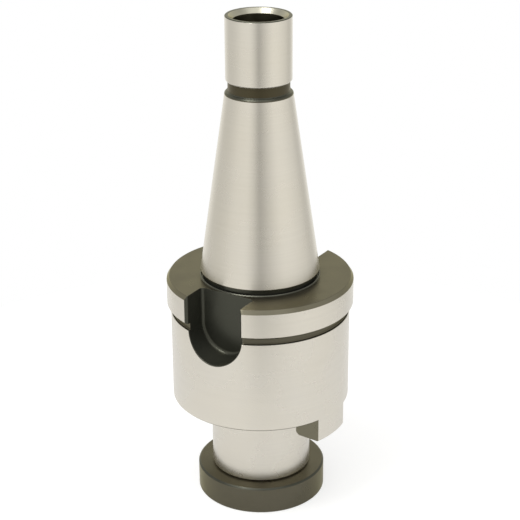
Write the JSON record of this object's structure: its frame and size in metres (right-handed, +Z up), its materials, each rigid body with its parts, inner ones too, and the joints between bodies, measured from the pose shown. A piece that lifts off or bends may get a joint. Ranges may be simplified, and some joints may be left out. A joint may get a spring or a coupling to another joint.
{
  "type": "shell mill arbor",
  "caption": "Tool holder with a 7:24 taper shank, a slotted drive flange, a spigot and tenons for a shell mill, and a disc-headed retaining screw.",
  "frame": {"origin": "centre of the taper's gauge plane, where its large end measures 31.75 mm across", "axes": "+Z up the axis towards the drawbar end; the flange's two drive slots lie towards -Y and +Y"},
  "size_m": [0.05, 0.048, 0.134],
  "materials": {
    "ground_steel": "fine ground",
    "blackened_steel": "black oxide, oiled"
  },
  "bodies": {
    "root": {"arbor": "ground_steel", "retaining_screw": "blackened_steel"}
  },
  "joints": []
}
